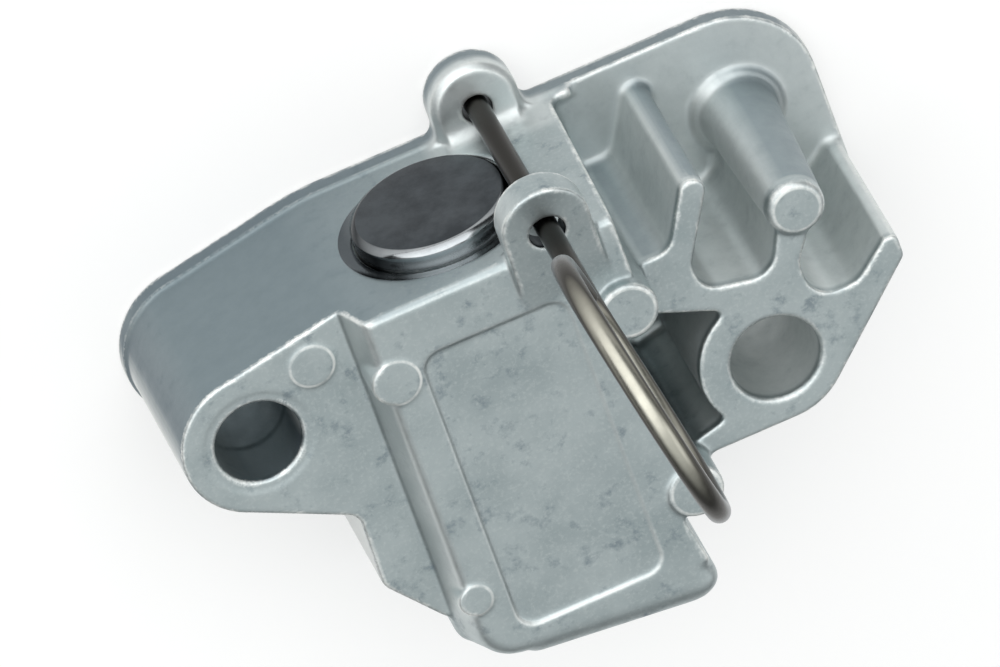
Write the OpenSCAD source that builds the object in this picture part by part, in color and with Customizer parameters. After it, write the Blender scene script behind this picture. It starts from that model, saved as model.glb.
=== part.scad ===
// Timing chain tensioner: die-cast housing, hydraulic plunger with its check valve, and retaining pin.
// The origin is the axis of the left bolt hole on the mounting face. X runs along the housing,
// Y is the way the plunger pushes, and Z is the outward normal of the mounting face.

/* [Housing] */
// Height of the front panel above the mounting face
panel_z = 20; // [19.4:0.1:20.6]
// Height of the bolt lug faces above the mounting face
lug_z = 16.6; // [15.6:0.1:17.2]
// Thickness of the flange lip round the mounting face
flange_t = 1.6; // [1.2:0.1:2.2]
// Width of the flange lip round the walls
lip_step = 0.25; // [0.1:0.05:0.4]
// Height of the top face, which the plunger comes out of, over the left bolt axis
top_y = 7.9; // [7.7:0.1:8.1]
// Depth of the middle of the block's lowest edge under the left bolt axis
base_y = 25.3; // [25:0.1:25.6]
// Slope of that edge, down to the right, in degrees
base_slope = 6.6; // [5:0.1:8]
// Place of the right edge
right_x = 48.4; // [47.8:0.1:48.8]
// Radius of the upper right corner
corner_r = 6.6; // [5:0.1:7]
// Slope of the top edge over the left lug, in degrees
top_slope = 11.3; // [10:0.1:12]
// Slope of the lower edge of the left lug, in degrees
under_slope = 28.4; // [27:0.1:30]

/* [Bolt lugs] */
// Radius of the left lug round its bolt
lug_r = 5.8; // [5.6:0.05:6]
// Diameter of the left bolt hole
left_hole_d = 6.3; // [6.2:0.05:6.4]
// Diameter of the left bolt hole in front of its inner step
left_mouth_d = 6.5; // [6.4:0.05:6.7]
// Depth of that step under the lug face
step_depth = 5; // [4:0.5:8]
// Diameter of the right bolt hole
right_hole_d = 6.7; // [6.5:0.1:7]
// Place of the right bolt axis along the housing
right_hole_x = 37.1; // [36.6:0.1:37.6]
// Depth of the right bolt axis under the left one
right_hole_y = 11; // [10.6:0.1:11.4]
// Outer radius of the lug round the right bolt
right_lug_r = 5.8; // [5.6:0.05:6]
// Width of the break on the rims of the holes
rim_break = 0.25; // [0.1:0.05:0.4]
// Radius of the faint seat ring round the left bolt hole
seat_ring_r = 4.15; // [3.9:0.05:4.5]

/* [Front panel] */
// Width of the sloping strip down the left of the panel
draft_w = 1.15; // [0.6:0.05:1.5]
// Round between that strip and the panel
strip_round = 1; // [0.6:0.1:1.4]
// Round between the panel and the lowest edge
low_round = 2.2; // [1.5:0.1:3]
// Break between the panel and the top face
top_break = 0.45; // [0.3:0.05:0.8]
// Width of the bare recess in the panel
recess_w = 11.4; // [10:0.1:12]
// Height of the bare recess in the panel
recess_h = 24.9; // [23:0.1:25]
// Depth of the bare recess along its left edge
recess_t = 0.3; // [0.2:0.05:0.6]
// Slope of its floor up to the right edge, in degrees
recess_slope = 0.6; // [0.5:0.1:1]
// Corner radius of the bare recess
recess_r = 1.5; // [0.8:0.1:2]

/* [Right web] */
// Thickness of the long rib
rib_t = 2; // [1.6:0.1:2.2]
// Lean of the long rib from the plate's right edge, in degrees
rib_lean = 27.5; // [26:0.5:29]
// Radius of the free post at its foot
post_foot_r = 2.95; // [2.7:0.05:3.1]
// Radius of the free post at its end
post_end_r = 2.2; // [2:0.05:2.4]

/* [Pin ears] */
// Place of the pin axis along the housing
pin_x = 24.5; // [24.45:0.05:24.6]
// Height of the pin axis over the left bolt axis
pin_y = 9.9; // [9.9:0.05:10.1]
// Place of the middle of the ears along the housing
ear_x = 24.45; // [24.3:0.05:24.6]
// Height of the middle of the ears over the left bolt axis
ear_y = 10.15; // [10:0.05:10.3]
// Radius of the ears
ear_r = 3.35; // [3.1:0.05:3.5]
// Diameter of the hole for the pin in the front ear
front_hole_d = 2.7; // [2.6:0.05:2.8]
// Diameter of the hole for the pin in the rear ear
rear_hole_d = 2.2; // [2.15:0.05:2.6]
// Thickness of the rear ear
rear_ear_t = 2.6; // [2.4:0.1:3]
// Width of the slope round the front of the rear ear
rear_ear_break = 0.5; // [0.3:0.05:1.1]
// Radius at the foot of the rear ear
ear_foot_r = 1.3; // [0.8:0.1:1.3]
// Height of the back of the front ear over the mounting face
front_ear_z = 18.9; // [18.5:0.1:19.2]
// Height of the tip of the front ear over the panel
front_ear_rise = 1.8; // [1.4:0.1:2.2]

/* [Plunger] */
// Place of the plunger axis along the housing
bore_x = 18.05; // [17.95:0.05:18.1]
// Height of the plunger axis over the mounting face
bore_z = 10.6; // [10.2:0.1:10.8]
// Plunger diameter
plunger_d = 12.2; // [12:0.1:12.3]
// Running clearance between plunger and bore, all round
bore_gap = 0.03; // [0.02:0.01:0.05]
// Height of the plunger face over the left bolt axis, held by the pin
face_y = 9.3; // [9.1:0.05:9.3]
// Thickness of the plunger head
head_t = 3.7; // [3:0.1:4.5]
// Wall of the plunger cup
cup_wall = 1.45; // [1.2:0.05:1.6]
// Width of the bright break round the plunger face
face_break = 0.5; // [0.3:0.05:0.7]
// Width of the turned spot face round the mouth of the bore
spot_w = 1.2; // [0.8:0.05:1.3]
// Depth of that spot face
spot_t = 0.15; // [0.1:0.05:0.3]

/* [Plunger spring] */
// Wire diameter of the plunger spring
spring_wire = 1; // [0.8:0.05:1.1]
// Mean radius of the plunger spring
spring_r = 3.95; // [3.85:0.05:4]
// Turns of the plunger spring
spring_turns = 9; // [7:0.5:11]

/* [Check valve] */
// Thickness of the valve seat
seat_t = 2.8; // [2.4:0.1:3.2]
// Radius of the oil way through the seat
seat_hole_r = 1.2; // [1:0.05:1.3]
// Diameter of the check ball
ball_d = 4; // [3.8:0.1:4.2]
// Travel of the check ball
ball_lift = 0.8; // [0.5:0.1:1]
// Sheet thickness of the ball cage
cage_t = 0.6; // [0.4:0.05:0.7]
// Diameter of the oil feed from the mounting face
feed_d = 2.6; // [2:0.1:2.7]

/* [Retaining pin] */
// Wire diameter of the pin
wire_d = 1.8; // [1.6:0.05:1.8]
// Mean radius of the pull ring
ring_r = 10.3; // [9:0.1:11]
// Height of the ring's centre over the mounting face
ring_z = 45.3; // [44:0.1:50]
// Turn of the ring about the pin's axis, in degrees
ring_turn = 190.9; // [180:0.1:210]
// Radius of the bend between leg and ring
neck_r = 2.2; // [1.8:0.1:3]
// Gap between the tip of the pin and the mounting face
pin_tip = 0.4; // [0.2:0.1:1]

/* [Hidden] */
$fn = 64;
over = 1;

// Colours of the finishes
CAST = [0.63, 0.68, 0.69];
DARK_STEEL = [0.24, 0.26, 0.28];
WIRE_STEEL = [0.55, 0.53, 0.49];
BRIGHT_STEEL = [0.72, 0.73, 0.74];
NYLON = [0.86, 0.84, 0.76];

// Left wall of the block, at its foot and at the panel
wall_foot_x = 8.6;
wall_panel_x = wall_foot_x + draft_w;
// Right wall of the block, beside the ears, beside the deep core and beside the lowest edge
wall_top_x = 29.5;
wall_core_x = 26.5;
wall_low_x = 27.9;

// Axes of the holes for the pin, which the plunger presses against their upper side
front_hole = [pin_x - 0.1, pin_y - 0.3];
rear_hole = [pin_x - 0.03, pin_y - 0.1];
// Axis and radius of the lowest left corner of the block
corner_axis = [12.5, -20.75];
corner_foot_r = corner_axis[0] - wall_foot_x + 0.02;

// Plunger and valve, as heights along the plunger axis
plunger_r = plunger_d / 2;
bore_r = plunger_r + bore_gap;
cup_r = plunger_r - cup_wall;
cup_end = face_y - head_t;
seat_top = -13.4;
seat_foot = seat_top - seat_t;
chamber_foot = seat_foot - 2.8;
chamber_r = bore_r - 0.9;
cage_seat = seat_top + cage_t;
plunger_foot = cage_seat + 1.5;
ball_r = ball_d / 2;
// The ball sits on a cone of 45 degrees, 0.05 clear of it
cone_r = seat_hole_r + 1;
ball_y = seat_top - cone_r + ball_r * sqrt(2) + 0.05;
cage_bore = ball_r + 0.7;
cage_out = cage_bore + cage_t;
cage_top = ball_y + ball_r + ball_lift + 2.2;
insert_flange = 1;
insert_top = cup_end - 0.02;
insert_foot = cage_top + 3.6;

// Corners of the outlines as [x, y, radius], anticlockwise
function place(c) = [c[0], c[1]];
function unit(v) = v / norm(v);
function left_of(v) = [-v[1], v[0]];
function at(c, i) = c[(i + len(c)) % len(c)];
function way_in(c, i) = unit(place(at(c, i)) - place(at(c, i - 1)));
function way_out(c, i) = unit(place(at(c, i + 1)) - place(at(c, i)));
function turn_at(c, i) = atan2(cross(way_in(c, i), way_out(c, i)), way_in(c, i) * way_out(c, i));
function spin(v, a) = [v[0] * cos(a) - v[1] * sin(a), v[0] * sin(a) + v[1] * cos(a)];

// Points of an outline with each corner rounded by its own radius
function rounded(c) = [for (i = [0 : len(c) - 1])
    let (a = turn_at(c, i), r = c[i][2], steps = r > 0 ? max(2, ceil(abs(a) / (r > 10 ? 3 : 9))) : 0,
         start = place(c[i]) - way_in(c, i) * (r * tan(abs(a) / 2)),
         out = left_of(way_in(c, i)) * (-sign(a) * r))
    each [for (k = [0 : steps]) start - out + (steps > 0 ? spin(out, a * k / steps) : [0, 0])]];

// The same corners moved outwards by d
function outset(c, d) = [for (i = [0 : len(c) - 1])
    let (m = left_of(way_in(c, i)), n = left_of(way_out(c, i)),
         p = place(c[i]) - (m + n) * (d / (1 + m * n)),
         r = c[i][2] > 0 ? max(0, c[i][2] + sign(turn_at(c, i)) * d) : 0)
    [p[0], p[1], r]];

// Outline of the walls, whose edges run just inside the left lug's circle
lug_edge = lug_r - 0.02;
lug_top = lug_edge * [-sin(top_slope), cos(top_slope)];
lug_under = lug_edge * [-sin(under_slope), -cos(under_slope)];
top_bend_x = lug_top[0] + (top_y - lug_top[1]) / tan(top_slope);
shelf_x = 4.85;
shelf_y = lug_under[1] - (shelf_x - lug_under[0]) * tan(under_slope);
right_low_y = right_hole_y + 5.35;
function base_at(x) = -base_y - (x - bore_x) * tan(base_slope);
plan = [
    [lug_under[0], lug_under[1], 0], [shelf_x, shelf_y, 1.4], [shelf_x - 0.2, -15.6, 1.5],
    [wall_foot_x - 0.15, -20.6, 1], [wall_foot_x - 0.15, base_at(wall_foot_x - 0.15), 1.5],
    [wall_low_x, base_at(wall_low_x), 3.2], [wall_low_x + 0.4, -right_low_y, 2.2],
    [right_hole_x + 2.15, -right_low_y, right_lug_r - 0.4], [right_x, -7.25, 0.6],
    [right_x, top_y, corner_r], [top_bend_x, top_y, 18], [lug_top[0], lug_top[1], 0]];

// Outline of the block, of its slice along X and Z, and of the slices of its top and of its lowest edge
block_plan = [
    [0, -2 * base_y, 0], [wall_low_x + 4.5, -2 * base_y, 0], [wall_core_x, -18.6, 1.2],
    [wall_core_x + 1.7, -14.2, 1.2], [wall_core_x + 0.4, -0.8, 0.8], [wall_top_x + 1, -0.4, 0.8],
    [wall_top_x + 1, 2 * top_y, 0], [0, 2 * top_y, 0]];
block_slice = [
    [wall_foot_x, 0, 0], [wall_top_x + 0.2, 0, 0], [wall_top_x - 0.3, panel_z, 0],
    [wall_panel_x, panel_z, strip_round], [wall_foot_x, lug_z, 0]];
block_top = [
    [-2 * base_y, 0], [top_y + over, 0], [top_y + over, panel_z - top_break - over],
    [top_y - top_break, panel_z], [-2 * base_y, panel_z]];
block_low = [
    [-over, 0, 0], [2 * base_y, 0, 0], [2 * base_y, panel_z, 0], [-0.02, panel_z, low_round],
    [-0.02, panel_z / 2, 0], [-over, panel_z / 2, 0]];

// Outline of the web with its long rib, the neck of the free post and the rib on the right edge
rib_way = [sin(rib_lean), cos(rib_lean)];
rib_side = [cos(rib_lean), -sin(rib_lean)] * (rib_t / 2);
rib_tip = [36.05, 5.8];
post = [42.2, 0.3];
function along_rib(d, side) = rib_tip - rib_way * d + rib_side * side;
web = [
    [wall_core_x - over, plan[7][1], 0], plan[7], plan[8],
    [right_x, -5.3, 0.5], [right_x - 1, -5.3, 0.4], [44.6, -7.75, 1.8],
    [41.1, -7.75, 2.1], [41.1, -4.3, 2], [43, -1.3, 0], [40.4, 0.3, 0], [40.35, -1, 0.8],
    [38.9, -4.35, 1.9], [33.9, -3.15, 1.7],
    [along_rib(7, 1)[0], along_rib(7, 1)[1], 2], [along_rib(0, 1)[0], along_rib(0, 1)[1], 0.95],
    [along_rib(0, -1)[0], along_rib(0, -1)[1], 0.95], [along_rib(5.6, -1)[0], 1.05, 1.7],
    [wall_core_x - over, 1.05, 0]];

// Outline of the deep core between the block and the right lug
core = [
    [wall_core_x - 2 * over, -16.1, 0], [32.6, -14, 0.7], [36, -10, 0], [34.4, -5.35, 0.7],
    [wall_core_x - 2 * over, -0.95, 0]];

// Ejector marks as [x, y, radius, height over the mounting face]
marks = [
    [5.5, 4.25, 1.7, lug_z + 0.12], [10.5, 2.2, 1.85, panel_z + 0.1], [10.25, -17.6, 1.3, panel_z + 0.12],
    [27.9, 0.5, 2.25, panel_z + 1], [28, -16.4, 2.1, panel_z + 0.3]];

// Ring and bend of the pin, in the plane of the ring
wire_r = wire_d / 2;
neck_rise = sqrt(ring_r * ring_r + 2 * ring_r * neck_r);
neck_z = ring_z - neck_rise;
neck_angle = atan2(neck_r, neck_rise);
ring_end = 258;
pin_sides = 16;
// Path of the wire as [out, up, way out, way up]: top of the leg, bend, ring
pin_path = [
    [0, neck_z - over, 0, 1],
    for (a = [180 : (neck_angle - 90) / 8 : 91 + neck_angle])
        [neck_r + neck_r * cos(a), neck_z + neck_r * sin(a), sin(a), -cos(a)],
    for (k = [0 : 48])
        let (a = neck_angle - 90 + k * (ring_end + 90 - neck_angle) / 48)
        [ring_r * cos(a), ring_z + ring_r * sin(a), -sin(a), cos(a)]];

// Turns what is drawn upwards so that it lies along the plunger axis
module on_bore(y) {
    translate([bore_x, y, bore_z]) rotate([-90, 0, 0]) children();
}

// Extrudes an outline drawn in Y and Z along X
module along_x(x, length) {
    translate([x, 0, 0]) rotate([90, 0, 90]) linear_extrude(length) children();
}

// Closed skin over rings of points, where each ring is one section of a wire
module wire_skin(points, sides) {
    last = len(points) / sides - 1;
    walls = [for (i = [0 : last - 1], k = [0 : sides - 1])
        let (n = (k + 1) % sides)
        each [[i * sides + k, i * sides + n, (i + 1) * sides + n],
              [i * sides + k, (i + 1) * sides + n, (i + 1) * sides + k]]];
    caps = [[for (k = [sides - 1 : -1 : 0]) k], [for (k = [0 : sides - 1]) last * sides + k]];
    polyhedron(points, concat(walls, caps));
}

// Coil of wire round the Z axis, from the middle of its first section up
module coil(r, wire, rise, turns, per_turn, sides) {
    steps = ceil(turns * per_turn);
    wire_skin([for (i = [0 : steps], k = [0 : sides - 1])
        let (a = 360 * turns * i / steps, b = 360 * k / sides, s = r + wire / 2 * cos(b))
        [s * cos(a), s * sin(a), rise * i / steps + wire / 2 * sin(b)]], sides);
}

// Bolt hole with a break on its front rim
module bolt_hole(x, y, d, mouth_d) {
    translate([x, y, -over]) cylinder(d = d, h = lug_z + 2 * over);
    translate([x, y, lug_z - rim_break])
        cylinder(d1 = mouth_d, d2 = mouth_d + 4 * rim_break, h = 2 * rim_break);
}

// Flange on the mounting face with the rear ear
module flange() {
    linear_extrude(flange_t) {
        polygon(rounded(outset(plan, lip_step)));
        circle(lug_r + lip_step);
    }
    rear_ear();
}

// Left lug and the low shelf beside the block
module left_lug() {
    linear_extrude(lug_z) intersection() {
        union() {
            polygon(rounded(plan));
            circle(lug_r);
        }
        translate([-2 * lug_r, -2 * base_y]) square([2 * lug_r + wall_foot_x + over, 3 * base_y]);
    }
}

// What is cut off the block to round its lowest left corner, which follows the drafted wall
module low_corner() {
    r = corner_foot_r;
    difference() {
        translate([corner_axis[0] - 3 * r, corner_axis[1] - 3 * r, flange_t / 2])
            cube([3 * r, 3 * r, 2 * panel_z]);
        translate([corner_axis[0], corner_axis[1], 0]) cylinder(r = r, h = lug_z);
        translate([corner_axis[0], corner_axis[1], lug_z])
            cylinder(r1 = r, r2 = r - 2 * draft_w, h = 2 * (panel_z - lug_z));
    }
}

// Block round the plunger, before its lowest left corner is rounded
module whole_block() {
    intersection() {
        linear_extrude(panel_z + over) intersection() {
            polygon(rounded(plan));
            polygon(rounded(block_plan));
        }
        translate([0, 2 * top_y, 0]) rotate([90, 0, 0])
            linear_extrude(2 * base_y + 2 * top_y) polygon(rounded(block_slice));
        along_x(0, right_x) polygon(block_top);
        translate([bore_x, -base_y, 0]) rotate([0, 0, -base_slope])
            along_x(-right_x, 2 * right_x) polygon(rounded(block_low));
    }
}

// Block round the plunger, with its drafted left wall and rounded lowest edge
module block() {
    difference() {
        whole_block();
        low_corner();
    }
}

// Web round the right bolt with its ribs, cut by the deep core
module right_web() {
    linear_extrude(lug_z) difference() {
        polygon(rounded(web));
        difference() {
            polygon(rounded(core));
            translate([right_hole_x, -right_hole_y]) circle(right_lug_r);
        }
    }
}

// Free post on the plate, on a low disc
module free_post() {
    translate([post[0], post[1], 0]) {
        cylinder(r = post_foot_r + 0.4, h = flange_t + 0.4);
        cylinder(r1 = post_foot_r, r2 = post_end_r, h = lug_z + 0.1);
        translate([0, 0, lug_z + 0.1]) cylinder(r1 = post_end_r, r2 = post_end_r - 0.3, h = 0.3);
    }
}

// Plan of an ear, reaching below the top face by a given depth
module ear_plan(depth) {
    translate([ear_x, ear_y]) circle(ear_r);
    translate([ear_x - ear_r, top_y - depth]) square([2 * ear_r, ear_y - top_y + depth]);
}

// Rear ear with sloping edges, rounded into the flange and into the top face
module rear_ear() {
    low = rear_ear_t - rear_ear_break;
    slim = ear_r - rear_ear_break;
    foot = [
        [ear_x - 2 * ear_r, top_y - 0.6, 0], [ear_x + 2 * ear_r, top_y - 0.6, 0],
        [ear_x + 2 * ear_r, top_y, 0], [ear_x + ear_r, top_y, ear_foot_r],
        [ear_x + ear_r, ear_y - 0.3, 0], [ear_x - ear_r, ear_y - 0.3, 0],
        [ear_x - ear_r, top_y, ear_foot_r], [ear_x - 2 * ear_r, top_y, 0]];
    linear_extrude(low) {
        ear_plan(0.8);
        polygon(rounded(foot));
    }
    translate([ear_x, ear_y, low]) cylinder(r1 = ear_r, r2 = slim, h = rear_ear_break);
    translate([0, ear_y, 0]) rotate([90, 0, 0]) linear_extrude(ear_y - top_y + 0.8)
        polygon([[ear_x - ear_r, low - 0.1], [ear_x + ear_r, low - 0.1], [ear_x + ear_r, low],
                 [ear_x + slim, rear_ear_t], [ear_x - slim, rear_ear_t], [ear_x - ear_r, low]]);
    along_x(ear_x - slim, 2 * slim) polygon(rounded([
        [top_y - 0.6, low, 0], [top_y + ear_foot_r + 0.2, low, 0],
        [top_y + ear_foot_r + 0.2, rear_ear_t, 0], [top_y, rear_ear_t, ear_foot_r],
        [top_y, rear_ear_t + ear_foot_r + 0.2, 0],
        [top_y - 0.6, rear_ear_t + ear_foot_r + 0.2, 0]]));
}

// Front ear, whose face slopes back to the panel
module front_ear() {
    tip_y = ear_y + ear_r;
    meet_y = top_y - 4.4;
    slope = front_ear_rise / (tip_y - meet_y);
    intersection() {
        translate([0, 0, front_ear_z]) linear_extrude(2 * front_ear_rise + 2) ear_plan(4.6);
        along_x(0, right_x) polygon([
            [meet_y - over, front_ear_z - over], [tip_y + over, front_ear_z - over],
            [tip_y + over, panel_z + front_ear_rise + slope * over],
            [meet_y - over, panel_z - slope * over]]);
    }
}

// Bore with its spot face, the chamber under the valve seat and the oil feed
module bore_cuts() {
    on_bore(seat_foot) cylinder(r = bore_r, h = top_y - seat_foot + over);
    on_bore(top_y - spot_t) cylinder(r = bore_r + spot_w, h = over);
    on_bore(top_y - spot_t - 0.25) cylinder(r1 = bore_r, r2 = bore_r + 0.5, h = 0.5);
    on_bore(chamber_foot) cylinder(r = chamber_r, h = seat_foot - chamber_foot + over);
    translate([bore_x, (seat_foot + chamber_foot) / 2, -over]) cylinder(d = feed_d, h = bore_z + over);
}

// Bare recess in the front panel
module panel_recess() {
    x0 = 12.65;
    y1 = 3.3;
    corners = [
        [x0, y1 - recess_h, recess_r], [x0 + recess_w, y1 - recess_h, recess_r],
        [x0 + recess_w, y1, recess_r], [x0, y1, recess_r]];
    translate([x0, 0, panel_z - recess_t]) rotate([0, -recess_slope, 0]) translate([-x0, 0, 0])
        linear_extrude(over) polygon(rounded(corners));
}

module housing() {
    color(CAST) difference() {
        union() {
            flange();
            left_lug();
            block();
            right_web();
            free_post();
            front_ear();
            for (m = marks) translate([m[0], m[1], 0]) cylinder(r = m[2], h = m[3]);
        }
        bolt_hole(0, 0, left_hole_d, left_mouth_d);
        translate([0, 0, lug_z - step_depth]) cylinder(d = left_mouth_d, h = step_depth + over);
        translate([0, 0, lug_z - 0.08]) cylinder(r = seat_ring_r, h = over);
        bolt_hole(right_hole_x, -right_hole_y, right_hole_d, right_hole_d);
        bore_cuts();
        panel_recess();
        translate([rear_hole[0], rear_hole[1], -over]) cylinder(d = rear_hole_d, h = panel_z / 2);
        translate([front_hole[0], front_hole[1], panel_z / 2]) cylinder(d = front_hole_d, h = panel_z);
    }
}

module plunger() {
    length = face_y - plunger_foot;
    color(DARK_STEEL) on_bore(plunger_foot) rotate_extrude() polygon([
        [cup_r + 0.3, 0], [plunger_r - 0.3, 0], [plunger_r, 0.3], [plunger_r, length - 0.8 * face_break],
        [plunger_r - face_break, length], [0, length], [0, length - head_t], [cup_r, length - head_t],
        [cup_r, 0.3]]);
}

module plunger_spring() {
    clear = 0.02;
    rise = insert_top - insert_flange - cage_seat - spring_wire - 2 * clear;
    color(BRIGHT_STEEL) on_bore(cage_seat + spring_wire / 2 + clear)
        coil(spring_r, spring_wire, rise, spring_turns, 24, 10);
}

// Nylon plug that fills the middle of the spring, so that less oil is trapped
module volume_insert() {
    length = insert_top - insert_foot;
    color(NYLON) on_bore(insert_foot) rotate_extrude() polygon([
        [0.6, 0], [2.5, 0], [3, 0.8], [3, length - insert_flange], [cup_r - 0.25, length - insert_flange],
        [cup_r - 0.25, length], [0.6, length]]);
}

module valve_seat() {
    color(BRIGHT_STEEL) on_bore(seat_foot) rotate_extrude() polygon([
        [seat_hole_r, 0], [bore_r - 0.31, 0], [bore_r - 0.01, 0.3], [bore_r - 0.01, seat_t],
        [cone_r, seat_t], [seat_hole_r, seat_t - (cone_r - seat_hole_r)]]);
}

module check_ball() {
    color(BRIGHT_STEEL) on_bore(ball_y) sphere(ball_r);
}

module ball_spring() {
    wire = 0.3;
    r = 1;
    foot = ball_y + sqrt(ball_r * ball_r - r * r) + wire;
    color(BRIGHT_STEEL) on_bore(foot)
        coil(r, wire, cage_top - cage_t - wire / 2 - 0.03 - foot, 3.5, 18, 8);
}

// Pressed cage: a flange under the plunger spring, a cup over the ball and four oil windows
module ball_cage() {
    height = cage_top - seat_top;
    color(BRIGHT_STEEL) on_bore(seat_top) difference() {
        rotate_extrude() polygon([
            [cage_bore, 0], [plunger_r - 0.6, 0], [plunger_r - 0.6, cage_t], [cage_out, cage_t],
            [cage_out, height], [0.7, height], [0.7, height - cage_t], [cage_bore, height - cage_t]]);
        for (a = [0, 90]) rotate([0, 0, a])
            translate([-cage_out - over, -0.9, cage_t + 1]) cube([2 * (cage_out + over), 1.8, 2.4]);
    }
}

// Bent wire: a straight leg through both ears, a bend and a pull ring that ends just short of the leg
module retaining_pin() {
    color(WIRE_STEEL) translate([pin_x, pin_y, 0]) rotate([0, 0, ring_turn]) {
        translate([0, 0, pin_tip]) cylinder(r1 = wire_r - 0.3, r2 = wire_r, h = 0.3);
        translate([0, 0, pin_tip + 0.3]) cylinder(r = wire_r, h = neck_z - 0.6 - pin_tip);
        wire_skin([for (p = pin_path, k = [0 : pin_sides - 1])
            let (b = 360 * k / pin_sides, s = wire_r - 0.02)
            [s * cos(b), p[0] - s * sin(b) * p[3], p[1] + s * sin(b) * p[2]]], pin_sides);
    }
}

housing();
plunger();
plunger_spring();
volume_insert();
valve_seat();
check_ball();
ball_spring();
ball_cage();
retaining_pin();
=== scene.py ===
"""Looks of a timing chain tensioner: a die-cast housing, a steel plunger with its check valve, a wire pin.

Lengths are in metres in the part's own frame. The origin is the axis of the left bolt hole on the mounting
face, X runs along the housing, Y is the way the plunger pushes, and Z is the outward normal of the face.
"""

import logging
import math
from dataclasses import dataclass
from enum import Enum

import bpy
import numpy as np
import openvdb
from mathutils import Matrix, Vector


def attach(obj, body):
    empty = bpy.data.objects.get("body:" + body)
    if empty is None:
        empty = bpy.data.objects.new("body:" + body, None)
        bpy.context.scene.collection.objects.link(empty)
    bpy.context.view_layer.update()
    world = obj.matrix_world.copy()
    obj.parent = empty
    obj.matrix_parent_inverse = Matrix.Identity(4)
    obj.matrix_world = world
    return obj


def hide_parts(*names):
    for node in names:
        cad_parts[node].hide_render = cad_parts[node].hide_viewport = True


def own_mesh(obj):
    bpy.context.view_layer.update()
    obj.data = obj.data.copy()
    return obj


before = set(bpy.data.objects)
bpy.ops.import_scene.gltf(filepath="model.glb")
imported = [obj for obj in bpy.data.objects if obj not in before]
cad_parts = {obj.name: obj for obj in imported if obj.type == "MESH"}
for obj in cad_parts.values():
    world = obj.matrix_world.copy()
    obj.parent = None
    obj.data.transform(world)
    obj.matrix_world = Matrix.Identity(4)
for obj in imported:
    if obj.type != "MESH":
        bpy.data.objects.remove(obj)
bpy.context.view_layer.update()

Colour = tuple[float, float, float, float]
Point = tuple[float, float, float]
Span = tuple[float, float]
Tree = bpy.types.NodeTree
Socket = bpy.types.NodeSocket

LOG = logging.getLogger("tensioner")
MM = 0.001
EDGE = "edge"
FULL: Span = (0.0, 1.0)
# How much of each finer pattern lies over the coarser one
PATTERN_MIX = 0.62
# Fixed way in the part, near that of the front lamp, that painted highlights, shade and reflections are laid out from
PAINTED_LIGHT_WAY: Point = (-0.073, 0.541, 0.838)


class Body(Enum):
    """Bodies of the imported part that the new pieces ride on."""

    HOUSING = "body"
    PLUNGER = "plunger"
    PIN = "pin"


class Slot(Enum):
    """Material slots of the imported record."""

    CAST = "cast_aluminium"
    DARK_STEEL = "dark_steel"
    BRIGHT_STEEL = "bright_steel"
    SPRING_WIRE = "spring_wire"


def linear(code: str) -> Colour:
    """Turns an sRGB hex colour to linear light.

    Args:
        code: The colour as "#rrggbb".

    Returns:
        Red, green, blue and alpha in linear light.
    """
    parts = [int(code[i : i + 2], 16) / 255 for i in (1, 3, 5)]
    red, green, blue = (c / 12.92 if c <= 0.04045 else ((c + 0.055) / 1.055) ** 2.4 for c in parts)
    return red, green, blue, 1.0


def per_metre(size_mm: float) -> float:
    """Gives the texture scale at which one cell of a pattern is size_mm wide."""
    return 1 / (size_mm * MM)


def add_node(tree: Tree, kind: str, inputs: dict[str | int, object] | None = None,
             **settings: object) -> bpy.types.Node:
    """Adds a shader node with its settings and its inputs.

    Args:
        tree: Node tree to add to.
        kind: Blender's name of the node type.
        inputs: Socket name or number to a value, or to an output socket that is linked to it.
        **settings: Properties of the node.

    Returns:
        The new node.
    """
    node = tree.nodes.new(kind)
    for name, value in settings.items():
        setattr(node, name, value)
    for key, value in (inputs or {}).items():
        if isinstance(value, Socket):
            tree.links.new(value, node.inputs[key])
        else:
            node.inputs[key].default_value = value
    return node


def new_material(name: str) -> tuple[bpy.types.Material, Tree]:
    """Makes an empty node material.

    Args:
        name: Name of the material.

    Returns:
        The material and its cleared node tree.
    """
    material = bpy.data.materials.new(name)
    material.use_nodes = True
    material.node_tree.nodes.clear()
    return material, material.node_tree


def share(tree: Tree, *terms: Socket | tuple[Socket, Span, Span]) -> Socket:
    """Works out how much of a coat lies at each place, as the product of its terms.

    Args:
        tree: Node tree to add to.
        *terms: Each a share, or a value with one span of it and the shares at the span's two ends.

    Returns:
        The share.
    """
    total = None
    for term in terms:
        if not isinstance(term, Socket):
            value, old, new = term
            ends = {"From Min": old[0], "From Max": old[1], "To Min": new[0], "To Max": new[1]}
            term = add_node(tree, "ShaderNodeMapRange", {"Value": value, **ends}).outputs["Result"]
        total = term if total is None else add_node(
            tree, "ShaderNodeMath", {0: total, 1: term}, operation="MULTIPLY").outputs["Value"]
    return total


def coats(tree: Tree, ground: Socket | str, *layers: tuple[Socket, Socket | str]) -> Socket:
    """Lays coats over a ground tone, one after the other.

    Args:
        tree: Node tree to add to.
        ground: Tone under the coats, as a socket or a hex colour.
        *layers: Share and tone of each coat.

    Returns:
        The tone that shows.
    """
    for part, tone in layers:
        first, second = (linear(t) if isinstance(t, str) else t for t in (ground, tone))
        ground = add_node(tree, "ShaderNodeMix", {"Factor": part, "A": first, "B": second},
                          data_type="RGBA").outputs["Result"]
    return ground


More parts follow.
